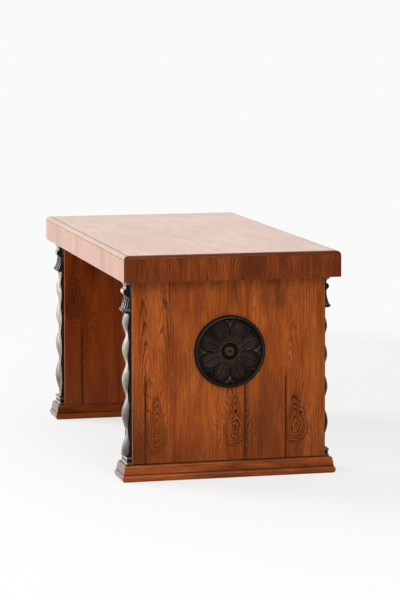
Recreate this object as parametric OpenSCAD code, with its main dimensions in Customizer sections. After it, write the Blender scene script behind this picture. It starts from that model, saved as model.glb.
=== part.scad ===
// Library table: a deep veneered top on two slab ends, with a carved twist column
// on each upright edge and a carved rosette on each outer face.
// X runs along the length, Y from front to back, Z up from the floor.
// The origin is on the floor at the middle of the table.

/* [Overall] */
// Length of the table top
table_l = 1420; // [1150:10:1800]
// Depth of the table top from front to back
table_w = 735; // [650:5:900]
// Height of the writing surface above the floor
table_h = 750; // [700:5:800]

/* [Top] */
// Height of the top's edge, from its lower face to the writing surface
edge_h = 87; // [76:1:110]
// Thickness of the crossbanded rails that form the edge
edge_rail_t = 22; // [18:1:26]
// Thickness of the board under the writing surface
board_t = 22; // [18:1:28]
// Thickness of the soffit board that closes the top from below
soffit_t = 8; // [5:1:14]
// Width of the moulding let into the upper edge
mould_w = 14; // [12:1:17]
// Height of the moulding let into the upper edge
mould_h = 12; // [9:1:14]
// Depth of the fine line left beside the moulding and over the bead
quirk = 1; // [0.5:0.25:2]
// Width of the bearer over each slab end
bearer_w = 80; // [50:2:86]
// Width of the bearer at mid length
mid_bearer_w = 40; // [30:2:60]
// Leg of the triangular blocks glued into the corners
block_leg = 36; // [20:2:38]

/* [Slab ends] */
// Distance from the end of the top to the outer face of a slab end
end_inset = 57; // [50:1:75]
// Distance from the long side of the top to the edge of a slab end
side_inset = 39; // [38:1:60]
// Thickness of a slab end over both panels
slab_t = 105; // [98:1:126]
// Thickness of each veneered panel
panel_t = 12; // [8:1:18]
// Radius of the panels' upright corners
arris_r = 2; // [1:0.5:4]
// Width of the stiles inside a slab end
stile_w = 60; // [40:2:80]
// Height of the rails inside a slab end
frame_rail_h = 60; // [50:2:90]

/* [Plinth] */
// Height of the plinth
plinth_h = 54; // [46:1:75]
// Distance that the plinth stands out in front of and behind a slab end
plinth_front = 30; // [27:1:36]
// Distance that the plinth stands out from a slab end's faces
plinth_side = 9; // [7:1:14]
// Height of the half round bead along the floor
bead_h = 23; // [18:1:30]
// Distance that the bead stands out from the face above it
bead_out = 5; // [3:0.5:8]
// Distance that the plinth's face leans back on its way up
face_lean = 4; // [2:0.5:6]
// Radius of the plinth's shoulder
shoulder_r = 7; // [4:0.5:10]

/* [Columns] */
// Width of the flat strip behind a column
strip_w = 92; // [84:1:98]
// Thickness of the strip
strip_t = 3; // [2:0.5:4]
// Height of a column's foot block
foot_h = 26; // [20:1:34]
// Depth of the foot block
foot_out = 15.5; // [12:0.5:20]
// Distance that the foot block's lips stand out from it
foot_lip = 3; // [1:0.5:5]
// Width of the twist at a swell
swell_w = 80; // [64:1:84]
// Distance from the slab end to the crown of the twist's lowest swell
swell_out = 26; // [20:0.5:28]
// Distance that a swell at the top of the twist stands out less than one at its foot
swell_taper = 5; // [0:0.5:7]
// Width of the twist at a neck
neck_w = 22; // [16:1:44]
// Distance from the slab end to the crown of a neck
neck_out = 9; // [8.5:0.5:14]
// Thickness of the twist along its thin edges
twist_edge = 4.5; // [3:0.25:5]
// Height of the first full turn below the capital
first_turn = 90; // [70:1:120]
// Height that each turn has more than the turn above it
turn_growth = 12; // [4:1:20]
// Distance that a swell lags from one edge of the twist to its middle
twist_slant = 14; // [0:1:24]
// Height of the capital
capital_h = 110; // [90:1:130]
// Width of the capital
capital_w = 88; // [70:1:96]
// Distance from the slab end to the tip of the capital's leaf
leaf_out = 24.5; // [22:0.5:28]
// Depth of the flutes in the leaf
flute_depth = 2.5; // [1:0.25:4]
// Radius of the capital's scroll
scroll_r = 10.5; // [8:0.5:12]
// Distance from the slab end to the front of the capital's slab
abacus_out = 20; // [18:0.5:24]
// Height of the capital's slab
abacus_h = 14; // [10:1:20]

/* [Rosettes] */
// Diameter of a rosette
rosette_d = 240; // [180:2:280]
// Thickness of a rosette at its rim
rosette_t = 18; // [12:1:24]
// Height of a rosette's centre above the floor
rosette_z = 420; // [340:5:470]
// Number of petals
petals = 8; // [6:1:10]

/* [Joinery] */
// Diameter of the dowels
dowel_d = 12; // [8:1:16]
// Length of the dowels
dowel_l = 60; // [40:2:76]
// Distance from one dowel to the next
dowel_gap = 130; // [80:5:140]

/* [Hidden] */
$fn = 64;

// Sides and edges, as signs along X and Y
right = 1;
left = -1;
front = -1;
back = 1;

// Heights
top_under = table_h - edge_h;
soffit_top = top_under + soffit_t;
board_under = table_h - board_t;
rail_top = table_h - mould_h;
capital_under = top_under - capital_h;
strip_under = plinth_h + foot_h;

// Plan sizes
slab_w = table_w - 2 * side_inset;
slab_x = table_l / 2 - end_inset - slab_t / 2;
core_t = slab_t - 2 * panel_t;
box_l = table_l - 2 * edge_rail_t;
box_w = table_w - 2 * edge_rail_t;
field_l = table_l - 2 * mould_w;
field_w = table_w - 2 * mould_w;

// The bead's arc springs from this far inside the face above it
bead_toe = 1;
bead_sag = bead_out + bead_toe;
bead_r = (pow(bead_h / 2, 2) + pow(bead_sag, 2)) / (2 * bead_sag);
plinth_reach = bead_out + 2;

// Points along and across the twist, the capital and a petal
twist_steps = 48;
twist_cols = 8;
capital_cols = 12;
leaf_lobes = 3;
petal_cols = 10;
// Height of the first neck of the twist below the capital
twist_lead = 27;

rosewood = "peru";
crossband = "chocolate";
frame_wood = "burlywood";
black_wood = [0.17, 0.15, 0.14];

// Placing

// Turns its child so that +Y points out of the named side of the top
module on_side(turn) {
    rotate([0, 0, turn]) children();
}

// Moves its child to a slab end; the left end is the right one turned half round
module at_end(side) {
    rotate([0, 0, side == right ? 0 : 180]) translate([slab_x, 0, 0]) children();
}

// Moves its child to the front or back edge of a slab end, with +Y pointing out
module at_edge(side, edge) {
    translate([side * slab_x, 0, 0])
        rotate([0, 0, edge == front ? 180 : 0])
            translate([0, slab_w / 2, 0]) children();
}

// Draws its flat child, with its width along Y and its height along Z, along X
module along_x(len) {
    translate([-len / 2, 0, 0]) rotate([90, 0, 90]) linear_extrude(len) children();
}

// Box centred on X and Y
module block(x, y, z0, z1) {
    translate([-x / 2, -y / 2, z0]) cube([x, y, z1 - z0]);
}

// Top

module top_board() {
    color(rosewood) {
        block(field_l, field_w, rail_top, table_h);
        block(box_l, box_w, board_under, rail_top);
    }
}

// Bar with mitred ends, outer face on Y = width / 2 and length along X
module mitred_bar(len, width, depth, z0, z1) {
    y = width / 2;
    translate([0, 0, z0]) linear_extrude(z1 - z0)
        polygon([[-len / 2, y], [len / 2, y],
            [len / 2 - depth, y - depth], [-len / 2 + depth, y - depth]]);
}

// Thumb section: a quarter round with a fine line on either side
module thumb_section() {
    r = mould_h - quirk;
    square([mould_w - quirk - r, r]);
    translate([mould_w - quirk - r, 0]) intersection() {
        circle(r);
        square(r);
    }
}

module edge_moulding(turn, len, width) {
    color(rosewood) on_side(turn) intersection() {
        mitred_bar(len, width, mould_w, rail_top, table_h);
        translate([0, width / 2 - mould_w, rail_top]) along_x(len) thumb_section();
    }
}

module edge_rail(turn, len, width) {
    color(crossband) on_side(turn) mitred_bar(len, width, edge_rail_t, top_under, rail_top);
}

module soffit() {
    color(frame_wood) difference() {
        block(box_l, box_w, top_under, soffit_top);
        top_dowel_holes(right);
        top_dowel_holes(left);
    }
}

module bearer(side, width) {
    color(frame_wood) difference() {
        translate([side * slab_x, 0, 0]) block(width, box_w, soffit_top, board_under);
        if (side != 0) top_dowel_holes(side);
    }
}

module corner_blocks() {
    color(frame_wood) for (sx = [-1, 1], sy = [-1, 1])
        translate([sx * box_l / 2, sy * box_w / 2, soffit_top])
            linear_extrude(board_under - soffit_top)
                polygon([[0, 0], [-sx * block_leg, 0], [0, -sy * block_leg]]);
}

// Slab ends

// Panel in plan, outer face on X = panel_t, with its two outer corners rounded
module panel_plan() {
    translate([0, -slab_w / 2]) square([panel_t - arris_r, slab_w]);
    translate([0, -slab_w / 2 + arris_r]) square([panel_t, slab_w - 2 * arris_r]);
    for (s = [-1, 1]) translate([panel_t - arris_r, s * (slab_w / 2 - arris_r)]) circle(arris_r);
}

// face is 1 for the outer panel and -1 for the inner one
module panel(side, face) {
    color(rosewood) at_end(side) rotate([0, 0, face > 0 ? 0 : 180])
        translate([core_t / 2, 0, plinth_h]) linear_extrude(top_under - plinth_h) panel_plan();
}

module stile(side, edge) {
    color(frame_wood) translate([side * slab_x, edge * (slab_w - stile_w) / 2, 0])
        block(core_t, stile_w, plinth_h, top_under);
}

module frame_rail(side, z0) {
    color(frame_wood) difference() {
        translate([side * slab_x, 0, 0])
            block(core_t, slab_w - 2 * stile_w, z0, z0 + frame_rail_h);
        top_dowel_holes(side);
        plinth_dowel_holes(side);
    }
}

// Plinths

// Section of the plinth moulding, standing out by the given distance, from the slab end's face
module plinth_section(out) {
    intersection() {
        square([out + plinth_reach, plinth_h]);
        union() {
            polygon([[-shoulder_r - out, 0], [out - bead_toe, 0], [out - bead_toe, bead_h],
                [out, bead_h + quirk], [out - face_lean, plinth_h - shoulder_r],
                [out - face_lean - shoulder_r, plinth_h], [-shoulder_r - out, plinth_h]]);
            translate([out - face_lean - shoulder_r, plinth_h - shoulder_r]) circle(shoulder_r);
            translate([out + bead_out - bead_r, bead_h / 2]) circle(bead_r);
        }
    }
}

module plinth_core(side) {
    color(rosewood) difference() {
        translate([side * slab_x, 0, 0]) block(slab_t, slab_w, 0, plinth_h);
        plinth_dowel_holes(side);
    }
}

// Moulding along the front or back of a slab end, mitred where the side mouldings meet it
module plinth_long(side, edge) {
    x = slab_t / 2;
    y = plinth_front - plinth_side;
    reach = plinth_side + plinth_reach;
    color(rosewood) at_edge(side, edge) difference() {
        along_x(slab_t + 2 * reach) plinth_section(plinth_front);
        for (s = [-1, 1]) translate([0, 0, -1]) linear_extrude(plinth_h + 2)
            polygon([[s * x, -1], [s * x, y], [s * (x + reach), y + reach], [s * (x + reach), -1]]);
    }
}

// Moulding along the outer or inner face of a slab end, mitred at both ends
module plinth_short(side, face) {
    x = slab_w / 2 + plinth_front - plinth_side;
    reach = plinth_side + plinth_reach;
    color(rosewood) at_end(side) rotate([0, 0, face > 0 ? -90 : 90])
        translate([0, slab_t / 2, 0]) intersection() {
            along_x(2 * (x + reach)) plinth_section(plinth_side);
            translate([0, 0, -1]) linear_extrude(plinth_h + 2)
                polygon([[-x, 0], [x, 0], [x + reach, reach], [-x - reach, reach]]);
        }
}

// Columns

module column_strip(side, edge) {
    color(black_wood) at_edge(side, edge) translate([0, strip_t / 2, 0])
        block(strip_w, strip_t, strip_under, capital_under);
}

module column_foot(side, edge) {
    lip = foot_lip;
    color(black_wood) at_edge(side, edge) translate([0, 0, plinth_h]) along_x(strip_w)
        polygon([[0, 0], [foot_out + lip, 0], [foot_out + lip, lip], [foot_out, 2 * lip],
            [foot_out, foot_h - 2 * lip], [foot_out + lip, foot_h - lip],
            [foot_out + lip, foot_h], [0, foot_h]]);
}

// Turns of the twist above a height, counted down from its first neck.
// Each turn is higher than the one above, so the drop is a quadratic in the turns.
function turns_at(z) =
    let (a = first_turn - turn_growth / 2, b = turn_growth / 2)
    (sqrt(a * a + 4 * b * (capital_under - twist_lead - z)) - a) / (2 * b);

// Swelling of the twist at a height, from 0 at a neck to 1 at a swell.
// The two hands swell at opposite places and slant opposite ways.
function swelling(z, u, hand) = (1 + hand * cos(360 * turns_at(z + hand * twist_slant * u))) / 2;

// Rounded section of the twist from one thin edge (u = -1) to the other (u = 1)
function crown(u) = 1 - pow(abs(u), 2.5);

// Distance from the slab end to the crown of a swell at a height
function swell_crown(z) = swell_out - swell_taper * (z - strip_under) / (capital_under - strip_under);

function twist_point(z, u, hand) =
    let (s = swelling(z, u, hand),
        w = (neck_w + (swell_w - neck_w) * s) / 2,
        low = strip_t + twist_edge,
        high = neck_out + (swell_crown(z) - neck_out) * s)
    [u * w, low + (high - low) * crown(u), z];

// One closed ring round the twist: its carved front, then the two corners of its back
function twist_ring(z, hand) =
    let (row = [for (j = [0:twist_cols]) twist_point(z, 2 * j / twist_cols - 1, hand)])
    concat(row, [[row[twist_cols][0], strip_t, z], [row[0][0], strip_t, z]]);

// Solid skinned over rings that all have the same number of points
module skin(rings) {
    n = len(rings[0]);
    m = len(rings);
    walls = [for (i = [0:m - 2], j = [0:n - 1])
        let (a = i * n + j, b = i * n + (j + 1) % n)
        each [[a, b, a + n], [b, b + n, a + n]]];
    bottom = [for (j = [n - 1:-1:0]) j];
    top = [for (j = [0:n - 1]) (m - 1) * n + j];
    polyhedron(points = [for (ring = rings) each ring], faces = concat([bottom, top], walls));
}

module column_twist(side, edge) {
    hand = -side * edge;
    height = capital_under - strip_under;
    color(black_wood) at_edge(side, edge)
        skin([for (i = [0:twist_steps]) twist_ring(strip_under + height * i / twist_steps, hand)]);
}

// Place of the scroll's axis, and depth of the throat under it
scroll_z = capital_h * 0.63;
scroll_y = leaf_out * 0.92 - scroll_r;
throat_out = scroll_y - 1;

// Profile of the capital from the root of its leaf to its top, as [out, height] points:
// the curled tip, the hollow flare above it, the scroll and the slab
capital_profile = concat(
    [[throat_out, 0], [leaf_out - 5, 2], [leaf_out, 5.5], [leaf_out - 0.5, 10], [leaf_out - 4, 13]],
    [for (i = [1:6]) let (t = i / 6)
        [throat_out + (leaf_out - 4 - throat_out) * pow(1 - t, 2), 13 + (scroll_z - scroll_r - 17) * t]],
    [for (a = [-70:20:70]) [scroll_y + scroll_r * cos(a), scroll_z + scroll_r * sin(a)]],
    [[scroll_y + 1, scroll_z + scroll_r + 3],
        [abacus_out - 3, capital_h - abacus_h - 1], [abacus_out, capital_h - abacus_h + 3],
        [abacus_out, capital_h]]);

// How far the flutes reach into the leaf at a height, from 0 to 1
function fluting(z) = lookup(z, [[0, 0.3], [5, 1], [scroll_z - scroll_r - 12, 1],
    [scroll_z - scroll_r - 2, 0], [capital_h, 0]]);

// Half the width of the capital at a height
function capital_half(z) = capital_w / 2 * lookup(z, [[0, 0.86], [8, 1], [16, 0.94],
    [scroll_z - scroll_r - 8, 0.84], [scroll_z - scroll_r, 0.95], [scroll_z, 1],
    [scroll_z + scroll_r, 0.94], [capital_h, 1]]);

// One closed ring: its bowed and fluted front, then the two corners of its back
function capital_ring(i) =
    let (p = capital_profile[i][0], z = capital_profile[i][1],
        rise = capital_h * i / (len(capital_profile) - 1),
        w = capital_half(z),
        row = [for (j = [0:capital_cols]) let (u = 2 * j / capital_cols - 1)
            [u * w, p - u * u - flute_depth * fluting(z) * (1 + cos(180 * leaf_lobes * (u + 1))) / 2, z]])
    concat(row, [[w, 0, rise], [-w, 0, rise]]);

module column_capital(side, edge) {
    color(black_wood) at_edge(side, edge) translate([0, 0, capital_under])
        skin([for (i = [0:len(capital_profile) - 1]) capital_ring(i)]);
}

// Rosettes

// Heights are shares of the rosette's thickness, over distances that are shares of its radius
rosette_steps = [0.05, 0.11, 0.145, 0.19, 0.225, 0.26, 0.31, 0.38, 0.46, 0.54, 0.62, 0.7, 0.78,
    0.84, 0.885, 0.91, 0.95, 0.985, 1];

// Turned parts: the dimpled boss, the groove round it, the cup and the rim
function turned_height(r) = lookup(r, [[0, 0.62], [0.05, 0.66], [0.11, 0.78], [0.145, 0.56],
    [0.19, 0.24], [0.225, 0.4], [0.26, 0.62], [0.31, 0.5], [0.46, 0.26], [0.885, 0.24],
    [0.91, 0.72], [0.95, 1], [0.985, 0.84], [1, 0.5]]);

// Half the width of a petal, as a share of its sector
function petal_half(r) = r < 0.5 ? 1 : sqrt(max(0, 1 - pow((r - 0.5) / 0.37, 2)));

// Carved height: petals with a sunk midrib, and a flared dart between two petal tips.
// v runs across a petal's sector, from -1 to 1.
function carved_height(r, v) =
    let (base = turned_height(r),
        half = petal_half(r),
        t = half > 0 ? abs(v) / half : 2,
        rib = abs(v) < 0.1 ? 0.1 : 0,
        leaf = t < 1 ? lookup(r, [[0.26, 0], [0.38, 0.28], [0.6, 0.46], [0.84, 0.34]])
            * pow(1 - pow(t, 2.5), 0.6) - rib : 0,
        reach = r > 0.64 ? (r - 0.64) * 1.9 : 0,
        dart = reach > 1 - abs(v) ? 0.3 : 0)
    r > 0.26 && r < 0.87 ? base + max(leaf, dart) : base;

module rosette(side) {
    radius = rosette_d / 2;
    cols = petals * petal_cols;
    rows = len(rosette_steps);
    loops = [for (r = rosette_steps, j = [0:cols - 1])
        let (a = 360 * j / cols, v = 2 * (j % petal_cols) / petal_cols - 1)
        [radius * r * cos(a), radius * r * sin(a), rosette_t * carved_height(r, v)]];
    under = [for (j = [0:cols - 1]) let (a = 360 * j / cols) [radius * cos(a), radius * sin(a), 0]];
    fan = [for (j = [0:cols - 1]) [0, 1 + (j + 1) % cols, 1 + j]];
    bands = [for (i = [0:rows - 1], j = [0:cols - 1])
        let (a = 1 + i * cols + j, b = 1 + i * cols + (j + 1) % cols)
        each [[a, b, a + cols], [b, b + cols, a + cols]]];
    base = [for (j = [0:cols - 1]) 1 + rows * cols + j];
    color(black_wood) at_end(side) translate([slab_t / 2, 0, rosette_z]) rotate([0, 90, 0])
        polyhedron(points = concat([[0, 0, rosette_t * turned_height(0)]], loops, under),
            faces = concat([base], fan, bands));
}

// Dowels

module dowel_row(side, z) {
    for (k = [-1.5:1:1.5]) translate([side * slab_x, k * dowel_gap, z - dowel_l / 2])
        cylinder(h = dowel_l, d = dowel_d);
}

module top_dowel_holes(side) {
    dowel_row(side, top_under);
}

module plinth_dowel_holes(side) {
    dowel_row(side, plinth_h);
}

module dowels() {
    color(frame_wood) for (side = [left, right]) {
        dowel_row(side, top_under);
        dowel_row(side, plinth_h);
    }
}

top_board();
edge_moulding(180, table_l, table_w);  // front_moulding
edge_moulding(0, table_l, table_w);  // back_moulding
edge_moulding(-90, table_w, table_l);  // right_moulding
edge_moulding(90, table_w, table_l);  // left_moulding
edge_rail(180, table_l, table_w);  // front_edge_rail
edge_rail(0, table_l, table_w);  // back_edge_rail
edge_rail(-90, table_w, table_l);  // right_edge_rail
edge_rail(90, table_w, table_l);  // left_edge_rail
soffit();
bearer(right, bearer_w);  // right_bearer
bearer(0, mid_bearer_w);  // middle_bearer
bearer(left, bearer_w);  // left_bearer
corner_blocks();
panel(right, 1);  // right_outer_panel
panel(right, -1);  // right_inner_panel
stile(right, front);  // right_front_stile
stile(right, back);  // right_back_stile
frame_rail(right, top_under - frame_rail_h);  // right_top_rail
frame_rail(right, rosette_z - frame_rail_h / 2);  // right_middle_rail
frame_rail(right, plinth_h);  // right_bottom_rail
panel(left, 1);  // left_outer_panel
panel(left, -1);  // left_inner_panel
stile(left, front);  // left_front_stile
stile(left, back);  // left_back_stile
frame_rail(left, top_under - frame_rail_h);  // left_top_rail
frame_rail(left, rosette_z - frame_rail_h / 2);  // left_middle_rail
frame_rail(left, plinth_h);  // left_bottom_rail
plinth_core(right);  // right_plinth_core
plinth_short(right, 1);  // right_plinth_outer
plinth_short(right, -1);  // right_plinth_inner
plinth_long(right, front);  // right_plinth_front
plinth_long(right, back);  // right_plinth_back
plinth_core(left);  // left_plinth_core
plinth_short(left, 1);  // left_plinth_outer
plinth_short(left, -1);  // left_plinth_inner
plinth_long(left, front);  // left_plinth_front
plinth_long(left, back);  // left_plinth_back
column_strip(right, front);  // right_front_strip
column_twist(right, front);  // right_front_twist
column_capital(right, front);  // right_front_capital
column_foot(right, front);  // right_front_foot
column_strip(right, back);  // right_back_strip
column_twist(right, back);  // right_back_twist
column_capital(right, back);  // right_back_capital
column_foot(right, back);  // right_back_foot
column_strip(left, front);  // left_front_strip
column_twist(left, front);  // left_front_twist
column_capital(left, front);  // left_front_capital
column_foot(left, front);  // left_front_foot
column_strip(left, back);  // left_back_strip
column_twist(left, back);  // left_back_twist
column_capital(left, back);  // left_back_capital
column_foot(left, back);  // left_back_foot
rosette(right);  // right_rosette
rosette(left);  // left_rosette
dowels();
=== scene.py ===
# Library table: finishes, fine carving, light and camera
import math

import bpy
import numpy as np
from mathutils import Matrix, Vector


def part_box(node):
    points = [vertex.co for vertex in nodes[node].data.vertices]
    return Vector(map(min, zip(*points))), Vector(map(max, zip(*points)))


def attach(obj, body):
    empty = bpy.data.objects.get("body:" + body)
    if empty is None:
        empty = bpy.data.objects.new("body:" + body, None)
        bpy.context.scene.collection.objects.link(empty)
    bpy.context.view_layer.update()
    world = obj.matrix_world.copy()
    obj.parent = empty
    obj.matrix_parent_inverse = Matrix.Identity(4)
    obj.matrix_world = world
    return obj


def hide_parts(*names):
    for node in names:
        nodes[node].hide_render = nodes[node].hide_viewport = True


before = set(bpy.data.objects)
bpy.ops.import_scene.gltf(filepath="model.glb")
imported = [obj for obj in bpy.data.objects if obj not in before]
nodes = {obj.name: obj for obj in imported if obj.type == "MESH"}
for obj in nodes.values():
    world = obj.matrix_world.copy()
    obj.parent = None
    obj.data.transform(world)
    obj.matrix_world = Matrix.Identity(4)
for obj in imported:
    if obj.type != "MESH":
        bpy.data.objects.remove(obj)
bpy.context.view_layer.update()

# The right slab end: the x of its outer face, the y of its back edge, the z of its top, and its middle in x
slabFace, slabEdge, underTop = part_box("right_outer_panel")[1]
slabMiddle = (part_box("right_inner_panel")[0].x + slabFace) / 2
print("frame loaded,", len(nodes), "nodes")


# Helpers for shader nodes. Those that add to a tree take it first, and those that make a value give back
# its socket. What they are fed may be a number, a colour or a socket.

def shade(red, green, blue):
    # a colour as it looks on screen, made linear
    channels = (red, green, blue)
    return tuple(c / 12.92 if c < 0.04045 else ((c + 0.055) / 1.055) ** 2.4 for c in channels) + (1.0,)


def feed(tree, socket, value):
    if isinstance(value, bpy.types.NodeSocket):
        tree.links.new(value, socket)
    else:
        socket.default_value = value


def calc(tree, operation, first, second=None, third=None, clamp=False):
    node = tree.nodes.new("ShaderNodeMath")
    node.operation = operation
    node.use_clamp = clamp
    for socket, value in zip(node.inputs, (first, second, third)):
        if value is not None:
            feed(tree, socket, value)
    return node.outputs[0]


def apart(tree, spot, centre, reach):
    # how far the spot lies from the centre, in reaches
    return calc(tree, "DIVIDE", calc(tree, "SUBTRACT", spot, centre), reach)


def gapTo(tree, spot, centre):
    return calc(tree, "ABSOLUTE", calc(tree, "SUBTRACT", spot, centre))


def squareSum(tree, first, second):
    return calc(tree, "ADD", calc(tree, "MULTIPLY", first, first), calc(tree, "MULTIPLY", second, second))


def largest(tree, values):
    top = values[0]
    for value in values[1:]:
        top = calc(tree, "MAXIMUM", top, value)
    return top


def split(tree, vector):
    node = tree.nodes.new("ShaderNodeSeparateXYZ")
    tree.links.new(vector, node.inputs[0])
    return node.outputs


# Noise, named by what it makes: its scale and offset, then its detail and roughness. On wood the scale is
# for places across the grain, along it and into it, and on carving for X, Y and Z.
noiseLooks = {
    "tilt": ((11.0, 1.0, 11.0), (2, 3, 4), 1.0, 0.5),
    "drift": ((5.0, 1.1, 5.0), (0, 0, 0), 2.0, 0.5),
    "wobble": ((60.0, 22.0, 60.0), (0, 0, 0), 3.0, 0.6),
    "ragged": ((150.0, 80.0, 150.0), (0, 0, 0), 2.0, 0.6),
    "swayAcross": ((30.0, 20.0, 30.0), (1, 2, 5), 1.0, 0.5),
    "swayAlong": ((30.0, 20.0, 30.0), (9, 2, 5), 1.0, 0.5),
    "strong": ((26.0, 2.2, 26.0), (3, 1, 2), 2.0, 0.6),
    "patch": ((9.0, 2.0, 9.0), (7, 4, 1), 3.0, 0.55),
    "flame": ((48.0, 9.0, 48.0), (6, 2, 8), 3.0, 0.6),
    "fibre": ((520.0, 8.0, 520.0), (0, 0, 0), 3.0, 0.7),
    "streak": ((45.0, 1.3, 45.0), (1, 8, 5), 4.0, 0.65),
    "pore": ((900.0, 42.0, 900.0), (2, 6, 9), 1.0, 0.5),
    "sheen": ((14.0, 5.0, 14.0), (5, 5, 5), 3.0, 0.6),
    "mottle": ((90, 90, 45), (0, 0, 0), 4.0, 0.6),
    "toolMarks": ((300, 300, 14), (4, 2, 7), 3.0, 0.6),
}


def noise(tree, vector, kind):
    scale, offset, detail, rough = noiseLooks[kind]
    mapping = tree.nodes.new("ShaderNodeMapping")
    tree.links.new(vector, mapping.inputs["Vector"])
    mapping.inputs["Scale"].default_value = scale
    mapping.inputs["Location"].default_value = offset
    node = tree.nodes.new("ShaderNodeTexNoise")
    tree.links.new(mapping.outputs["Vector"], node.inputs["Vector"])
    node.inputs["Scale"].default_value = 1.0
    node.inputs["Detail"].default_value = detail
    node.inputs["Roughness"].default_value = rough
    return node.outputs["Fac"]


def between(tree, value, low, high):
    # 0 below low, 1 above high, smooth in between; low may be the larger
    node = tree.nodes.new("ShaderNodeMapRange")
    node.interpolation_type = "SMOOTHSTEP"
    feed(tree, node.inputs["Value"], value)
    node.inputs["From Min"].default_value = low
    node.inputs["From Max"].default_value = high
    return node.outputs["Result"]


def ramp(tree, value, stops):
    # from the first stop's colour to the second's; a new ramp has two stops
    node = tree.nodes.new("ShaderNodeValToRGB")
    tree.links.new(value, node.inputs["Fac"])
    band = node.color_ramp
    for element, (place, colour) in zip(band.elements, stops):
        element.position = place
        element.color = colour
    return node.outputs["Color"]


def blend(tree, amount, first, second):
    node = tree.nodes.new("ShaderNodeMix")
    node.data_type = "RGBA"
    feed(tree, node.inputs["Factor"], amount)
    feed(tree, node.inputs[6], first)
    feed(tree, node.inputs[7], second)
    return node.outputs[2]


def bump(tree, shader, height, distance, strength):
    node = tree.nodes.new("ShaderNodeBump")
    node.inputs["Strength"].default_value = strength
    node.inputs["Distance"].default_value = distance
    tree.links.new(height, node.inputs["Height"])
    tree.links.new(node.outputs["Normal"], shader.inputs["Normal"])


def glow(tree, kind, level):
    # plain white light; kind is the node that a surface or the world takes
    node = tree.nodes.new(kind)
    node.inputs["Color"].default_value = (1, 1, 1, 1)
    feed(tree, node.inputs["Strength"], level)
    return node.outputs[0]


def mixOn(tree, amount, first, second):
    node = tree.nodes.new("ShaderNodeMixShader")
    feed(tree, node.inputs[0], amount)
    tree.links.new(first, node.inputs[1])
    tree.links.new(second, node.inputs[2])
    return node.outputs[0]


polishIndex = 1.5  # how strongly lacquer and french polish bend light


def startFinish(name):
    finish = bpy.data.materials.new(name)
    finish.use_nodes = True
    tree = finish.node_tree
    coords = tree.nodes.new("ShaderNodeTexCoord")
    return finish, tree, tree.nodes["Principled BSDF"], coords.outputs["Object"]


# Wood. A growth ring shows as a line where a height field over the surface passes a whole number:
# the field climbs across the grain, drifts along it, arches at the seams between veneer leaves,
# and has a hump at each knot, so that the lines close round it. A look's "grain" names the axes along
# the grain, across it and into it. Seams and joints lie at places across it, and knots at places across
# and along. A smudge has its place, its reach across and along, and its strength. A crease is a line of
# painted shade, with its height above the floor, its reach and its strength.

plainWood = {
    "seams": [], "joints": [], "knots": [], "smudges": [], "creases": [],
    "even": 0.3, "dusk": 0.0, "wearAndHighlight": False,
}

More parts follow.
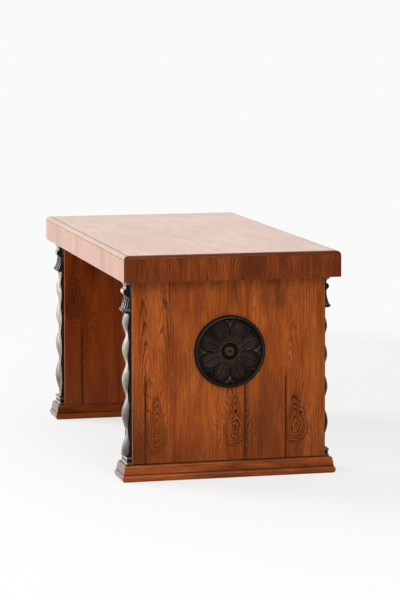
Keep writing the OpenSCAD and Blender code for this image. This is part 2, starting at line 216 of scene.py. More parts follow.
woodLooks = {
    "endPanel": {
        **plainWood, "grain": "ZYX", "rings": 150, "drift": 6.0, "wobble": 1.1, "arch": 58, "archFrom": 0.30,
        "seams": [-0.256, 0.0535, 0.1935], "wall": 0.1935,
        "joints": [-0.2845, 0.0535, 0.1935], "jointTop": 0.31,
        "knots": [(-0.245, 0.160), (0.018, 0.160), (0.228, 0.162)],
        "smudges": [
            (0.010, 0.60, 0.012, 0.060, 0.45), (0.118, 0.585, 0.010, 0.055, 0.45),
            (0.110, 0.13, 0.050, 0.11, 0.5), (-0.143, 0.5626, 0.005, 0.005, 0.5),
            (-0.092, 0.5626, 0.005, 0.005, 0.5), (0.33, 0.35, 0.045, 0.3, 0.3),
            (-0.34, 0.13, 0.075, 0.17, 0.75), (-0.03, 0.56, 0.03, 0.06, 0.25),
            (0.2, 0.6, 0.06, 0.04, 0.25), (0.123, 0.22, 0.050, 0.14, 0.45),
            (-0.28, 0.10, 0.10, 0.09, 0.5), (0.06, 0.18, 0.012, 0.12, 0.4),
        ],
        "creases": [(0.0545, 0.0055, 0.95), (0.6625, 0.0075, 0.55)],
        "light": (0.73, 0.375, 0.12), "mid": (0.55, 0.25, 0.07), "dark": (0.32, 0.135, 0.04),
        "streak": 0.5, "lines": 0.62, "pores": 0.4, "smooth": 0.2, "gloss": 0.34, "wearAndHighlight": True, "dusk": 0.35,
    },
    "innerPanel": {
        **plainWood, "grain": "ZYX", "rings": 130, "drift": 6.0, "wobble": 0.7, "arch": 50, "archFrom": 0.15,
        "seams": [-0.262, -0.03, 0.2], "wall": 0.2, "joints": [-0.262, -0.03, 0.2], "jointTop": 0.3,
        "knots": [(-0.297, 0.449), (0.01, 0.45), (0.238, 0.3)],
        "smudges": [
            (-0.30, 0.45, 0.02, 0.04, 0.5), (-0.215, 0.58, 0.022, 0.06, 0.7),
            (-0.29, 0.61, 0.008, 0.05, 0.6), (-0.25, 0.35, 0.014, 0.10, 0.5),
        ],
        "light": (0.56, 0.25, 0.07), "mid": (0.47, 0.195, 0.05), "dark": (0.28, 0.11, 0.03),
        "streak": 0.55, "lines": 0.4, "pores": 0.35, "smooth": 0.22, "gloss": 0.28, "wearAndHighlight": True,
    },
    "endRail": {
        **plainWood, "grain": "ZYX", "rings": 125, "drift": 10.0, "wobble": 1.0,
        "tilt": 480, "middle": 0.70, "even": 0.6,
        "smudges": [(0.07, 0.7, 0.05, 0.2, 0.45), (-0.33, 0.7, 0.05, 0.2, 0.3)],
        "light": (0.58, 0.28, 0.085), "mid": (0.42, 0.18, 0.052), "dark": (0.25, 0.10, 0.033),
        "streak": 0.5, "lines": 0.48, "pores": 0.4, "smooth": 0.2, "gloss": 0.28,
    },
    # painted light: the long rail, the long moulding and the top are coloured paler and pinker than the same
    # wood on the ends, for the light and the sheen on the lit side
    "longRail": {
        **plainWood, "grain": "ZXY", "rings": 120, "drift": 7.0, "wobble": 1.1,
        "smudges": [
            (-0.47, 0.70, 0.06, 0.2, 0.75), (-0.10, 0.70, 0.035, 0.2, 0.6),
            (0.36, 0.70, 0.03, 0.2, 0.5), (-0.63, 0.70, 0.03, 0.2, 0.3),
        ],
        "creases": [(0.7380, 0.0026, 0.85)],
        "light": (0.70, 0.44, 0.25), "mid": (0.61, 0.36, 0.19), "dark": (0.38, 0.23, 0.14),
        "streak": 0.6, "lines": 0.4, "pores": 0.45, "smooth": 0.24, "gloss": 0.5,
    },
    "top": {
        **plainWood, "grain": "XYZ", "rings": 60, "drift": 6.0, "wobble": 0.5, "arch": 8, "archFrom": -0.7,
        "seams": [-0.18, 0.0], "border": 0.3525,
        "smudges": [(0.05, -0.66, 0.30, 0.10, 0.5), (-0.25, -0.45, 0.10, 0.12, 0.3)],
        "light": (0.69, 0.44, 0.25), "mid": (0.61, 0.37, 0.18), "dark": (0.48, 0.27, 0.12),
        "streak": 0.3, "lines": 0.22, "pores": 0.2, "smooth": 0.3, "gloss": 0.5,
    },
    "longMoulding": {
        **plainWood, "grain": "XYZ", "rings": 160, "drift": 4.0, "wobble": 0.5,
        "light": (0.68, 0.47, 0.30), "mid": (0.60, 0.39, 0.24), "dark": (0.42, 0.25, 0.14),
        "streak": 0.4, "lines": 0.3, "pores": 0.4, "smooth": 0.26, "gloss": 0.5,
    },
    # painted shade: the end moulding is coloured darker than the long moulding, for the shade on its face
    "endMoulding": {
        **plainWood, "grain": "YXZ", "rings": 160, "drift": 4.0, "wobble": 0.5,
        "light": (0.46, 0.205, 0.07), "mid": (0.37, 0.155, 0.05), "dark": (0.25, 0.10, 0.035),
        "streak": 0.4, "lines": 0.3, "pores": 0.4, "smooth": 0.26, "gloss": 0.08,
    },
    "endPlinth": {
        **plainWood, "grain": "YZX", "rings": 190, "drift": 4.0, "wobble": 0.6,
        "creases": [(0.0240, 0.0026, 0.8), (0.0550, 0.0030, 0.8)],
        "light": (0.66, 0.325, 0.10), "mid": (0.37, 0.16, 0.05), "dark": (0.22, 0.09, 0.03),
        "streak": 0.55, "lines": 0.5, "pores": 0.45, "smooth": 0.28, "gloss": 0.16,
    },
    "longPlinth": {
        **plainWood, "grain": "XZY", "rings": 190, "drift": 4.0, "wobble": 0.6,
        "creases": [(0.0240, 0.0042, 1.0), (0.0550, 0.0030, 0.5)],
        "light": (0.41, 0.25, 0.14), "mid": (0.32, 0.19, 0.10), "dark": (0.21, 0.11, 0.055),
        "streak": 0.45, "lines": 0.35, "pores": 0.45, "smooth": 0.3, "gloss": 0.34,
    },
    "plainFrame": {
        **plainWood, "grain": "XYZ", "rings": 60, "drift": 5.0, "wobble": 0.4,
        "light": (0.66, 0.50, 0.33), "mid": (0.60, 0.44, 0.28), "dark": (0.48, 0.33, 0.19),
        "streak": 0.2, "lines": 0.3, "pores": 0.25, "smooth": 0.6, "gloss": 0.5,
    },
}

# How the wood's details are drawn. A pair is mostly the range of a noise, of a distance or of a ring's step
# over which a detail comes in. A relief's pair is its height and strength, and a smudge's is how much it
# follows the fibres and its least.

ringLook = {
    "blunt": 0.00002, "archFade": 50.0, "ragged": 0.6,
    "rise": (0.5, 0.92), "fall": (1.0, 0.95), "strong": (0.40, 0.66),
}
veneerLook = {
    "flame": 0.7, "patch": (0.30, 0.72), "fibre": (0.40, 0.70), "fibreShare": 0.6, "pore": (0.60, 0.72),
    "streak": (0.54, 0.74), "streakDark": 0.8, "lineDark": 0.62, "dusk": (0.17, 0.06),
    "sheen": 0.14, "poreDull": 0.12, "shadeAndBorderDull": 0.7, "fibreHeight": 0.3, "relief": (0.0002, 0.25),
    "smudge": (0.8, 0.6), "creaseCore": 0.25, "border": (0.0026, 0.0010),
    "rim": (0.0023, 0.0007), "rimHighlightShare": 0.4,
}
knotLook = {
    "across": 0.041, "along": 0.070, "sway": 0.7, "taper": 0.75, "stretch": 0.6,
    "rings": 5.0, "ragged": 0.7, "rim": (1.06, 0.94), "bend": 5.0, "bendFade": 0.35,
    "lines": 0.22, "linesAround": 0.42, "dark": 0.34,
}
jointLook = {
    "line": (0.0034, 0.0014), "lineDepth": 0.8, "shadow": (0.012, 0.0), "shadowDepth": 0.3, "ragged": 0.0012,
    "fadeOver": 0.06,
}
# rim: the colour of the painted highlight along the panels' side edges
# shadeAndBorder: the colour of the painted shade along the creases and of the line beside the top's moulding
detailColours = {
    "pore": (0.20, 0.08, 0.03), "joint": (0.20, 0.085, 0.04),
    "shadeAndBorder": (0.13, 0.06, 0.03), "rim": (0.68, 0.42, 0.27),
}


def ringField(tree, look, along, across, place):
    # the climb across the grain, from the nearest seam where there are seams, and what bends it
    if look["seams"]:
        gaps = [gapTo(tree, across, seam) for seam in look["seams"]]
        side = calc(tree, "MINIMUM", gaps[0], gaps[1])
        if "wall" in look:
            # past the wall the figure starts anew, from the third seam
            beyond = calc(tree, "GREATER_THAN", across, look["wall"])
            side = calc(tree, "MULTIPLY_ADD", calc(tree, "SUBTRACT", gaps[2], side), beyond, side)
        squared = calc(tree, "ADD", calc(tree, "MULTIPLY", side, side), ringLook["blunt"])
        field = calc(tree, "MULTIPLY", calc(tree, "SQRT", squared), look["rings"])
        fade = calc(tree, "EXPONENT", calc(tree, "MULTIPLY", side, -ringLook["archFade"]))
        climb = calc(tree, "MAXIMUM", calc(tree, "SUBTRACT", along, look["archFrom"]), 0.0)
        arch = calc(tree, "MULTIPLY", calc(tree, "MULTIPLY", climb, look["arch"]), fade)
        field = calc(tree, "ADD", field, arch)
    else:
        field = calc(tree, "MULTIPLY", across, look["rings"])
    if "tilt" in look:
        lean = calc(tree, "SUBTRACT", noise(tree, place, "tilt"), 0.5)
        lean = calc(tree, "MULTIPLY", lean, calc(tree, "SUBTRACT", along, look["middle"]))
        field = calc(tree, "MULTIPLY_ADD", lean, look["tilt"], field)
    for kind in ("drift", "wobble"):
        field = calc(tree, "ADD", field, calc(tree, "MULTIPLY", noise(tree, place, kind), look[kind]))
    return field


def addKnots(tree, look, along, across, place, ragged, field):
    # closed jagged rings inside a drop with its point upwards, and the grain bending round it
    sway = [calc(tree, "SUBTRACT", noise(tree, place, kind), 0.5) for kind in ("swayAcross", "swayAlong")]
    insides, bends = [], []
    for centre, height in look["knots"]:
        offAcross = apart(tree, across, centre, knotLook["across"])
        offAlong = apart(tree, along, height, knotLook["along"])
        offAcross = calc(tree, "MULTIPLY_ADD", sway[0], knotLook["sway"], offAcross)
        offAlong = calc(tree, "MULTIPLY_ADD", sway[1], knotLook["sway"], offAlong)
        up = calc(tree, "MAXIMUM", offAlong, 0.0)
        down = calc(tree, "MINIMUM", offAlong, 0.0)
        taper = calc(tree, "MULTIPLY_ADD", up, knotLook["taper"], 1.0)
        wide = calc(tree, "MULTIPLY", offAcross, taper)
        tall = calc(tree, "MULTIPLY_ADD", up, knotLook["stretch"], down)
        far = calc(tree, "SQRT", squareSum(tree, wide, tall))
        bend = calc(tree, "MULTIPLY", calc(tree, "MULTIPLY", far, far), -knotLook["bendFade"])
        bend = calc(tree, "EXPONENT", bend)
        field = calc(tree, "ADD", field, calc(tree, "MULTIPLY", bend, knotLook["bend"]))
        rings = calc(tree, "MULTIPLY", far, knotLook["rings"])
        rings = calc(tree, "MULTIPLY_ADD", ragged, knotLook["ragged"], rings)
        here = between(tree, far, *knotLook["rim"])
        field = calc(tree, "MULTIPLY_ADD", calc(tree, "SUBTRACT", rings, field), here, field)
        insides.append(here)
        bends.append(bend)
    return field, largest(tree, insides), largest(tree, bends)


def addJoints(tree, look, along, across, ragged, body):
    # a dark line with a soft shadow where two leaves of veneer meet; both fade out above the joint's top
    for joint in look["joints"]:
        off = gapTo(tree, across, joint)
        off = calc(tree, "MULTIPLY_ADD", calc(tree, "SUBTRACT", ragged, 0.5), jointLook["ragged"], off)
        line = calc(tree, "MULTIPLY", between(tree, off, *jointLook["line"]), jointLook["lineDepth"])
        shadow = between(tree, off, *jointLook["shadow"])
        seam = calc(tree, "MULTIPLY_ADD", shadow, jointLook["shadowDepth"], line)
        low = between(tree, along, look["jointTop"] + jointLook["fadeOver"], look["jointTop"])
        seam = calc(tree, "MULTIPLY", seam, low)
        body = blend(tree, seam, body, shade(*detailColours["joint"]))
    return body


def addSmudges(tree, look, along, across, fibre, body):
    for centre, height, wide, tall, depth in look["smudges"]:
        far = squareSum(tree, apart(tree, across, centre, wide), apart(tree, along, height, tall))
        stain = calc(tree, "MULTIPLY", calc(tree, "EXPONENT", calc(tree, "MULTIPLY", far, -1.0)), depth)
        stain = calc(tree, "MULTIPLY", stain, calc(tree, "MULTIPLY_ADD", fibre, *veneerLook["smudge"]))
        body = blend(tree, stain, body, shade(*look["dark"]))
    return body


def shadeAndBorderOn(tree, look, across, upright):
    # painted shade: dark and dull along the creases, where shade falls; on the top, a dark dull line beside
    # its moulding
    if "border" in look:
        low, high = (look["border"] - gap for gap in veneerLook["border"])
        return between(tree, calc(tree, "ABSOLUTE", across), low, high)
    creases = []
    for height, reach, depth in look["creases"]:
        crease = between(tree, gapTo(tree, upright, height), reach, reach * veneerLook["creaseCore"])
        creases.append(calc(tree, "MULTIPLY", crease, depth))
    return largest(tree, creases) if creases else None


def woodFinish(name, look):
    finish, tree, shader, coords = startFinish(name)
    spots = split(tree, coords)
    along, across, depth = (spots["XYZ".index(letter)] for letter in look["grain"])
    join = tree.nodes.new("ShaderNodeCombineXYZ")
    for socket, value in zip(join.inputs, (across, along, depth)):
        tree.links.new(value, socket)
    place = join.outputs[0]
    ragged, fibre, pore = (noise(tree, place, kind) for kind in ("ragged", "fibre", "pore"))

    def darkened(share):
        return shade(*[channel * share for channel in look["dark"]])

    # the ring lines, strong in some places and faint in others, and stronger in and round the knots
    field = ringField(tree, look, along, across, place)
    field = calc(tree, "ADD", field, calc(tree, "MULTIPLY", ragged, ringLook["ragged"]))
    if look["knots"]:
        field, inside, around = addKnots(tree, look, along, across, place, ragged, field)
    step = calc(tree, "FRACT", field)
    rise, fall = (between(tree, step, *ringLook[kind]) for kind in ("rise", "fall"))
    line = calc(tree, "MULTIPLY", rise, fall)
    strong = between(tree, noise(tree, place, "strong"), *ringLook["strong"])
    strong = calc(tree, "MULTIPLY_ADD", strong, look["lines"], look["lines"] * look["even"])
    lines = calc(tree, "MULTIPLY", line, strong)
    if look["knots"]:
        extra = calc(tree, "MULTIPLY", inside, knotLook["lines"])
        extra = calc(tree, "MULTIPLY_ADD", around, knotLook["linesAround"], extra)
        lines = calc(tree, "MULTIPLY_ADD", line, extra, lines, clamp=True)

    # slow colour change, fibres and dark streaks along the grain, the knots, the lines and fine pores
    flame = calc(tree, "SUBTRACT", noise(tree, place, "flame"), 0.5)
    patch = calc(tree, "MULTIPLY_ADD", flame, veneerLook["flame"], noise(tree, place, "patch"))
    body = ramp(tree, patch, zip(veneerLook["patch"], (shade(*look["mid"]), shade(*look["light"]))))
    fibres = calc(tree, "MULTIPLY", between(tree, fibre, *veneerLook["fibre"]), veneerLook["fibreShare"])
    body = blend(tree, fibres, body, darkened(1))
    streaks = between(tree, noise(tree, place, "streak"), *veneerLook["streak"])
    streaks = calc(tree, "MULTIPLY", streaks, look["streak"])
    body = blend(tree, streaks, body, darkened(veneerLook["streakDark"]))
    if look["knots"]:
        body = blend(tree, calc(tree, "MULTIPLY", inside, knotLook["dark"]), body, darkened(1))
    body = blend(tree, lines, body, darkened(veneerLook["lineDark"]))
    pores = between(tree, pore, *veneerLook["pore"])
    body = blend(tree, calc(tree, "MULTIPLY", pores, look["pores"]), body, shade(*detailColours["pore"]))

    # joints, smudges, a darker foot, painted shade along the creases, the dark line beside the top's
    # moulding, and a painted highlight along the panels' side edges
    body = addJoints(tree, look, along, across, ragged, body)
    body = addSmudges(tree, look, along, across, fibre, body)
    if look["dusk"]:
        low = calc(tree, "MULTIPLY", between(tree, along, *veneerLook["dusk"]), look["dusk"])
        body = blend(tree, low, body, darkened(1))
    shadeAndBorder = shadeAndBorderOn(tree, look, across, spots[2])
    if shadeAndBorder is not None:
        body = blend(tree, shadeAndBorder, body, shade(*detailColours["shadeAndBorder"]))
    # painted highlight: a pale line along the arrises of the panels' side edges, where they catch the light
    if look["wearAndHighlight"]:
        low, high = (slabEdge - gap for gap in veneerLook["rim"])
        rim = between(tree, calc(tree, "ABSOLUTE", across), low, high)
        rim = calc(tree, "MULTIPLY", rim, veneerLook["rimHighlightShare"])
        body = blend(tree, rim, body, shade(*detailColours["rim"]))

    tree.links.new(body, shader.inputs["Base Color"])
    sheen = veneerLook["sheen"]
    rough = calc(tree, "MULTIPLY_ADD", noise(tree, place, "sheen"), sheen, look["smooth"] - sheen / 2)
    rough = calc(tree, "MULTIPLY_ADD", pores, veneerLook["poreDull"], rough)
    tree.links.new(rough, shader.inputs["Roughness"])
    shader.inputs["IOR"].default_value = polishIndex
    shader.inputs["Specular IOR Level"].default_value = look["gloss"]
    # the painted shade along the creases, and the line beside the top's moulding, are made dull as well
    if shadeAndBorder is not None:
        level = calc(tree, "MULTIPLY_ADD", shadeAndBorder, -veneerLook["shadeAndBorderDull"] * look["gloss"], look["gloss"])
        tree.links.new(level, shader.inputs["Specular IOR Level"])
    relief = calc(tree, "SUBTRACT", calc(tree, "MULTIPLY", fibre, veneerLook["fibreHeight"]), pores)
    bump(tree, shader, relief, *veneerLook["relief"])
    return finish


finishes = {name: woodFinish(name, look) for name, look in woodLooks.items()}
print("wood finishes made")


# Ebonised carving: black lacquer, browner where hands and dusters have worn its high places. On the twists
# the pale crowns and lit edges are partly painted sheen and highlight, and their shaded edges and the
# capitals' shaded leaf sides are kept dark as painted shade. The carved pieces carry this wear and painted
# light as an attribute on their points. Below zero the lacquer is dull and keeps its deep colour; in the
# grooves, the capitals' throats and the rosettes' pits this is painted shade. The flat strips behind the
# columns carry none, so they keep the deep colour.

carvingLooks = {
    "columnBlack": {
        "deep": (0.085, 0.066, 0.052), "wearAndHighlight": (0.70, 0.635, 0.565), "smooth": 0.40, "gloss": 0.43,
    },
    "rosetteBlack": {
        "deep": (0.085, 0.060, 0.042), "wearAndHighlight": (0.46, 0.335, 0.235), "smooth": 0.42, "gloss": 0.22,
    },
    "flatBlack": {"deep": (0.12, 0.08, 0.05), "wearAndHighlight": (0.3, 0.2, 0.14), "smooth": 0.6, "gloss": 0.0},
}
lacquerLook = {
    "dust": (0.12, 0.09, 0.065), "dustShare": 0.35, "mottle": (0.35, 0.65), "uneven": (0.45, 0.55),
    "sheen": 0.16, "groove": (-0.6, 0.0), "relief": (0.0003, 0.12),
}


def carvingFinish(name, look):
    finish, tree, shader, coords = startFinish(name)
    wearAndLight = tree.nodes.new("ShaderNodeAttribute")
    wearAndLight.attribute_name = "wearAndLight"
    wearAndLight = wearAndLight.outputs["Fac"]
    mottle, marks = noise(tree, coords, "mottle"), noise(tree, coords, "toolMarks")
    uneven = between(tree, mottle, *lacquerLook["mottle"])
    uneven = calc(tree, "MULTIPLY_ADD", uneven, *lacquerLook["uneven"])
    amount = calc(tree, "MULTIPLY", calc(tree, "MAXIMUM", wearAndLight, 0.0), uneven)
    dust = calc(tree, "MULTIPLY", marks, lacquerLook["dustShare"])
    body = blend(tree, dust, shade(*look["deep"]), shade(*lacquerLook["dust"]))
    body = blend(tree, amount, body, shade(*look["wearAndHighlight"]))
    tree.links.new(body, shader.inputs["Base Color"])
    sheen = lacquerLook["sheen"]
    rough = calc(tree, "MULTIPLY_ADD", mottle, sheen, look["smooth"] - sheen / 2)
    tree.links.new(rough, shader.inputs["Roughness"])
    shader.inputs["IOR"].default_value = polishIndex
    # painted shade: below zero the lacquer loses its gloss
    unshaded = between(tree, wearAndLight, *lacquerLook["groove"])
    tree.links.new(calc(tree, "MULTIPLY", unshaded, look["gloss"]), shader.inputs["Specular IOR Level"])
    bump(tree, shader, marks, *lacquerLook["relief"])
    return finish


finishes |= {name: carvingFinish(name, look) for name, look in carvingLooks.items()}
finishes["dowelWood"] = woodFinish("dowelWood", woodLooks["plainFrame"])
print("carving finishes made")


# The finish of each CAD node: that of the first ending that fits its name, or else the plain frame's

finishEndings = {
    "top_board": "top", "outer_panel": "endPanel", "inner_panel": "innerPanel",
    "right_edge_rail": "endRail", "left_edge_rail": "endRail", "edge_rail": "longRail",
    "right_moulding": "endMoulding", "left_moulding": "endMoulding", "moulding": "longMoulding",
    "plinth_outer": "endPlinth", "plinth_inner": "endPlinth",
    "plinth_front": "longPlinth", "plinth_back": "longPlinth",
    "strip": "flatBlack", "rosette": "rosetteBlack",
    "twist": "columnBlack", "capital": "columnBlack", "foot": "columnBlack", "dowels": "dowelWood",
}


def finishFor(node):
    return next((finish for ending, finish in finishEndings.items() if node.endswith(ending)), "plainFrame")


for name, node in nodes.items():
    node.data.materials.clear()
    node.data.materials.append(finishes[finishFor(name)])
print("CAD nodes finished")


# Surfaces

sharpAngle = math.radians(48)
arrisDrop = 0.0008  # how far behind an arris the wear stops


def addPiece(name, points, quads, caps, wearAndLight, replaced):
    # a carved piece; points is (n, 3), quads is (m, 4) and caps are longer loops; the faces are turned
    # so that the volume is positive
    a, b, c, d = (points[quads[:, k]] for k in range(4))
    volume = (a * (np.cross(b, c) + np.cross(c, d))).sum()
    for cap in caps:
        ring = points[cap]
        volume += (np.cross(ring[1:-1], ring[2:]) @ ring[0]).sum()
    faces = quads.tolist() + [list(cap) for cap in caps]
    if volume < 0:
        faces = [face[::-1] for face in faces]
    mesh = bpy.data.meshes.new(name)
    mesh.from_pydata(points.tolist(), [], faces)
    mesh.polygons.foreach_set("use_smooth", np.ones(len(faces), bool))
    mesh.set_sharp_from_angle(angle=sharpAngle)
    wearAndHighlight = mesh.attributes.new("wearAndLight", "FLOAT", "POINT")
    wearAndHighlight.data.foreach_set("value", np.ravel(wearAndLight).astype(np.float32))
    mesh.update()
    mesh.materials.append(finishes[finishFor(replaced)])
    piece = bpy.data.objects.new(name, mesh)
    bpy.context.scene.collection.objects.link(piece)
    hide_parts(replaced)
    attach(piece, "root")


def skinRings(rings):
    # rings is (rows, columns, 3), each ring closed on itself, with a cap at either end
    rows, columns = rings.shape[:2]
    i, j = np.meshgrid(np.arange(rows - 1), np.arange(columns), indexing="ij")
    here, side = i * columns + j, i * columns + (j + 1) % columns
    quads = np.stack([here, side, side + columns, here + columns], -1).reshape(-1, 4)
    bottom = np.arange(columns)[::-1]
    top = (rows - 1) * columns + np.arange(columns)
    return rings.reshape(-1, 3), quads, [bottom, top]


def through(value, stops):
    # straight lines through the stops, each a place and the height there, level beyond the ends
    return np.interp(value, *zip(*stops))


def atEdge(points, side, edge):
    # from the column's own frame (x along the edge, y outwards) to its place on a slab end
    placed = np.empty_like(points)
    placed[..., 0] = side * slabMiddle + edge * points[..., 0]
    placed[..., 1] = edge * (slabEdge + points[..., 1])
    placed[..., 2] = points[..., 2]
    return placed


# The four columns: the slab end and the edge each stands on, and how its nodes' and its pieces' names start

columns = [
    (side, edge, f"{sideName}_{edgeName}", sideName + edgeName.title())
    for side, sideName in ((1, "right"), (-1, "left"))
    for edge, edgeName in ((-1, "front"), (1, "back"))
]


# Twist: a crowned ribbon whose width and crown swell and shrink down its length, by a cosine of the
# number of turns below the capital. The turns lengthen on the way down, so the drop is a quadratic in them.

twistLook = {
    "rows": 420, "columns": 40, "neckWidth": 0.022, "swellWidth": 0.076,
    "back": 0.003, "edge": 0.0052, "neckDip": 0.0012,  # how far out the back and the edges lie
    "neckOut": 0.0089, "lowSwell": 0.0242, "highSwell": 0.0194,  # how far out the crown stands
    "crown": 2.4, "fullness": 0.75,  # powers of the cross section and the swelling
    "firstTurn": 0.090, "turnGrowth": 0.012,  # the first turn's drop, and what each adds
    "slant": 0.014, "lead": 0.027,  # the lean over half the width; from top to turn 0
    "crownWearAndSheen": [
        (0.08, 0.08), (0.20, 0.12), (0.32, 0.50), (0.40, 0.66), (0.48, 0.66), (0.53, 0.46), (0.56, 0.34),
    ],
    "swellWearAndSheen": [(0, 0.55), (1, 1.0)], "neckWear": 0.3, "edgeWearAndHighlight": 0.9, "shadedEdge": 0.85,
    "edgeFocus": 7, "neckFocus": 3,
}


def closeBack(front, back, wearAndLight):
    # each row's two sides and its back; the wear stops just behind the arris
    ends = front[:, [-1, -1, 0, 0], :].copy()
    ends[:, [0, 3], 1] = np.maximum(ends[:, [0, 3], 1] - arrisDrop, back)
    ends[:, [1, 2], 1] = back
    return np.concatenate([front, ends], 1), np.pad(wearAndLight, ((0, 0), (0, 4)))


def twistRings(look, hand, low, high):
    # z runs up the column and u across it, from -1 to 1; a row's turns follow from its drop and its slant
    z = np.linspace(low, high, look["rows"])[:, None]
    u = np.sin(np.linspace(-math.pi / 2, math.pi / 2, look["columns"]))[None, :]
    a, b = look["firstTurn"] - look["turnGrowth"] / 2, look["turnGrowth"] / 2
    drop = high - look["lead"] - (z + hand * look["slant"] * u)
    turns = (np.sqrt(a * a + 4 * b * drop) - a) / (2 * b)
    swell = ((1 + hand * np.cos(2 * math.pi * turns)) / 2) ** look["fullness"]
    half = (look["neckWidth"] + (look["swellWidth"] - look["neckWidth"]) * swell) / 2
    # the ribbon's edge lies a little deeper at the necks, and the lower swellings stand out further
    base = look["back"] + look["edge"] - (1 - swell) * look["neckDip"]
    full = through(z, [(low, look["lowSwell"]), (high, look["highSwell"])])
    crown = look["neckOut"] + (full - look["neckOut"]) * swell - base
    out = base + crown * (1 - np.abs(u) ** look["crown"])
    front = np.stack([u * half, out, z + 0 * u], -1)
    # the edge on the hand's side, which faces the light, is pale: partly rubbed and partly painted highlight;
    # the other edge, away from the light, is kept dark as painted shade
    rubbedAndLit, shadedEdge = (np.clip(way * hand * u, 0, 1) ** look["edgeFocus"] for way in (1, -1))
    # the crowns are pale, most of all on the swellings: partly worn, partly painted sheen
    wearAndLight = through(z, look["crownWearAndSheen"]) * through(swell, look["swellWearAndSheen"]) * (1 - look["shadedEdge"] * shadedEdge)
    wearAndLight = wearAndLight + look["edgeWearAndHighlight"] * rubbedAndLit + look["neckWear"] * (1 - swell) ** look["neckFocus"]
    return closeBack(front, look["back"], np.clip(wearAndLight, 0, 1))


for side, edge, node, piece in columns:
    low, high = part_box(node + "_twist")
    rings, wearAndLight = twistRings(twistLook, -side * edge, low.z, high.z)
    addPiece(piece + "TwistCarved", *skinRings(atEdge(rings, side, edge)), wearAndLight, node + "_twist")
print("twists carved")


# Foot: a block with a rounded lip above and below its waist. The profile gives, at each height, how far
# it is drawn in, in lips. The plan is a rectangle with rounded front corners, a squared-off half circle.

footLook = {
    "halfWidth": 0.0455, "out": 0.0184, "lip": 0.0029, "columns": 33, "square": 0.12,
    "profile": [
        (0, 0.5), (0.0006, 0.15), (0.0018, 0), (0.0054, 0), (0.0068, 0.2), (0.0078, 0.8), (0.0105, 1.0),
        (0.0158, 1.0), (0.0182, 0.8), (0.0192, 0.2), (0.0206, 0), (0.0242, 0), (0.0254, 0.15), (0.026, 0.5),
    ],
    "front": [(0.25, 0), (0.45, 1)], "lipWear": [(0, 0.25), (1, 1.0)], "waistWear": [(0, -0.35), (1, -0.30)],
}


def footRings(look):
    # each height carries a squared-off half circle, cos and sin to a small power
    up, drawn = np.array(look["profile"]).T[..., None]
    turn = np.linspace(0, math.pi, look["columns"])[None, :]
    wide = np.sign(np.cos(turn)) * np.abs(np.cos(turn)) ** look["square"]
    out = np.abs(np.sin(turn)) ** look["square"]
    draw = drawn * look["lip"]
    rings = np.stack([wide * (look["halfWidth"] - draw), out * (look["out"] - draw), up + 0 * turn], -1)
    facing = through(np.sin(turn), look["front"])
    lips = np.clip(1 - 2 * drawn, 0, 1)
    return rings, lips * through(facing, look["lipWear"]) + (1 - lips) * through(facing, look["waistWear"])


for side, edge, node, piece in columns:
    rings, wearAndLight = footRings(footLook)
    rings[..., 2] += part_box(node + "_foot")[0].z
    addPiece(piece + "FootCarved", *skinRings(atEdge(rings, side, edge)), wearAndLight, node + "_foot")
print("feet carved")


# Capital: a profile carried across the width, fluted over its leaf and bowed a little. From below it has
# the leaf's curled tip, a hollow up to the throat, the narrow scroll and the slab.

capitalLook = {
    "columns": 73, "width": 0.088, "scrollWidth": 0.046, "height": 0.110, "bow": 0.0006, "leafBow": 0.0014,
    "leafOut": 0.0244, "tip": 0.0058, "tipHeight": 0.0065, "throat": 0.002, "flute": 0.0026, "lobes": 3,
    "scroll": 0.0105, "scrollOut": 0.0238, "scrollAt": 0.63, "slabOut": 0.020, "slabHeight": 0.014,
    "plate": 0.003, "plateWider": 0.0004, "plateFront": 0.0002,
    "tipTurn": (-95, 75, 26), "scrollTurn": (-75, 72, 40),  # from and to in degrees, and how many points
    "hollowSteps": (0.02, 1, 40), "hollowGap": 0.004,  # shares of its rise; from its end up to the scroll
    "root": [(0, 0), (0.004, 0.0002)], "neck": [(0.0010, 0.0026), (0.0008, 0.005)],
    "slabFoot": (0.0022, -0.004), "slabLip": [(-0.0030, -0.001), (-0.0006, 0.0022), (0, 0.0034)],
    "slabTop": [(0, -0.001), (-0.0004, 0)],
    "leafLitSide": [(-1, 0.0), (-0.6, 0.05), (-0.2, 0.6), (0.2, 0.8), (0.5, 0.7), (1, 1.0)],
    "wearAndLight": 1.1, "sideWear": 0.5, "grooveShade": 0.9, "leafDull": 0.15, "throatShade": 0.5, "sheltered": 0.15,
}


def arc(out, z, radius, low, high, steps):
    # points on a circle round (out, z), from low to high in degrees; 0 points outwards
    turn = np.radians(np.linspace(low, high, steps))
    return np.stack([out + radius * np.cos(turn), z + radius * np.sin(turn)], -1)


def capitalProfile(look, scrollY, scrollZ):
    # points (out, z) from below upwards, round a scroll whose middle is at scrollY and scrollZ
    roll, tall, throat = look["scroll"], look["height"], scrollY - look["throat"]
    slabOut, slabZ = look["slabOut"], tall - look["slabHeight"]

    def moved(points, out, z):
        return np.array(points, float).reshape(-1, 2) + (out, z)

    tip = arc(look["leafOut"] - look["tip"], look["tipHeight"], look["tip"], *look["tipTurn"])
    tipOut, tipZ = tip[-1]
    # the hollow is a parabola that reaches the throat upright
    t = np.linspace(*look["hollowSteps"])[:, None]
    rise = scrollZ - roll - look["hollowGap"] - tipZ
    hollow = np.hstack([throat + (tipOut - throat) * (1 - t) ** 2, tipZ + rise * t])
    return np.concatenate([
        moved(look["root"], throat, 0), tip, hollow, arc(scrollY, scrollZ, roll, *look["scrollTurn"]),
        moved(look["neck"], scrollY, scrollZ + roll), moved(look["slabFoot"], scrollY, slabZ),
        moved(look["slabLip"], slabOut, slabZ), moved(look["slabTop"], slabOut, tall),
    ])


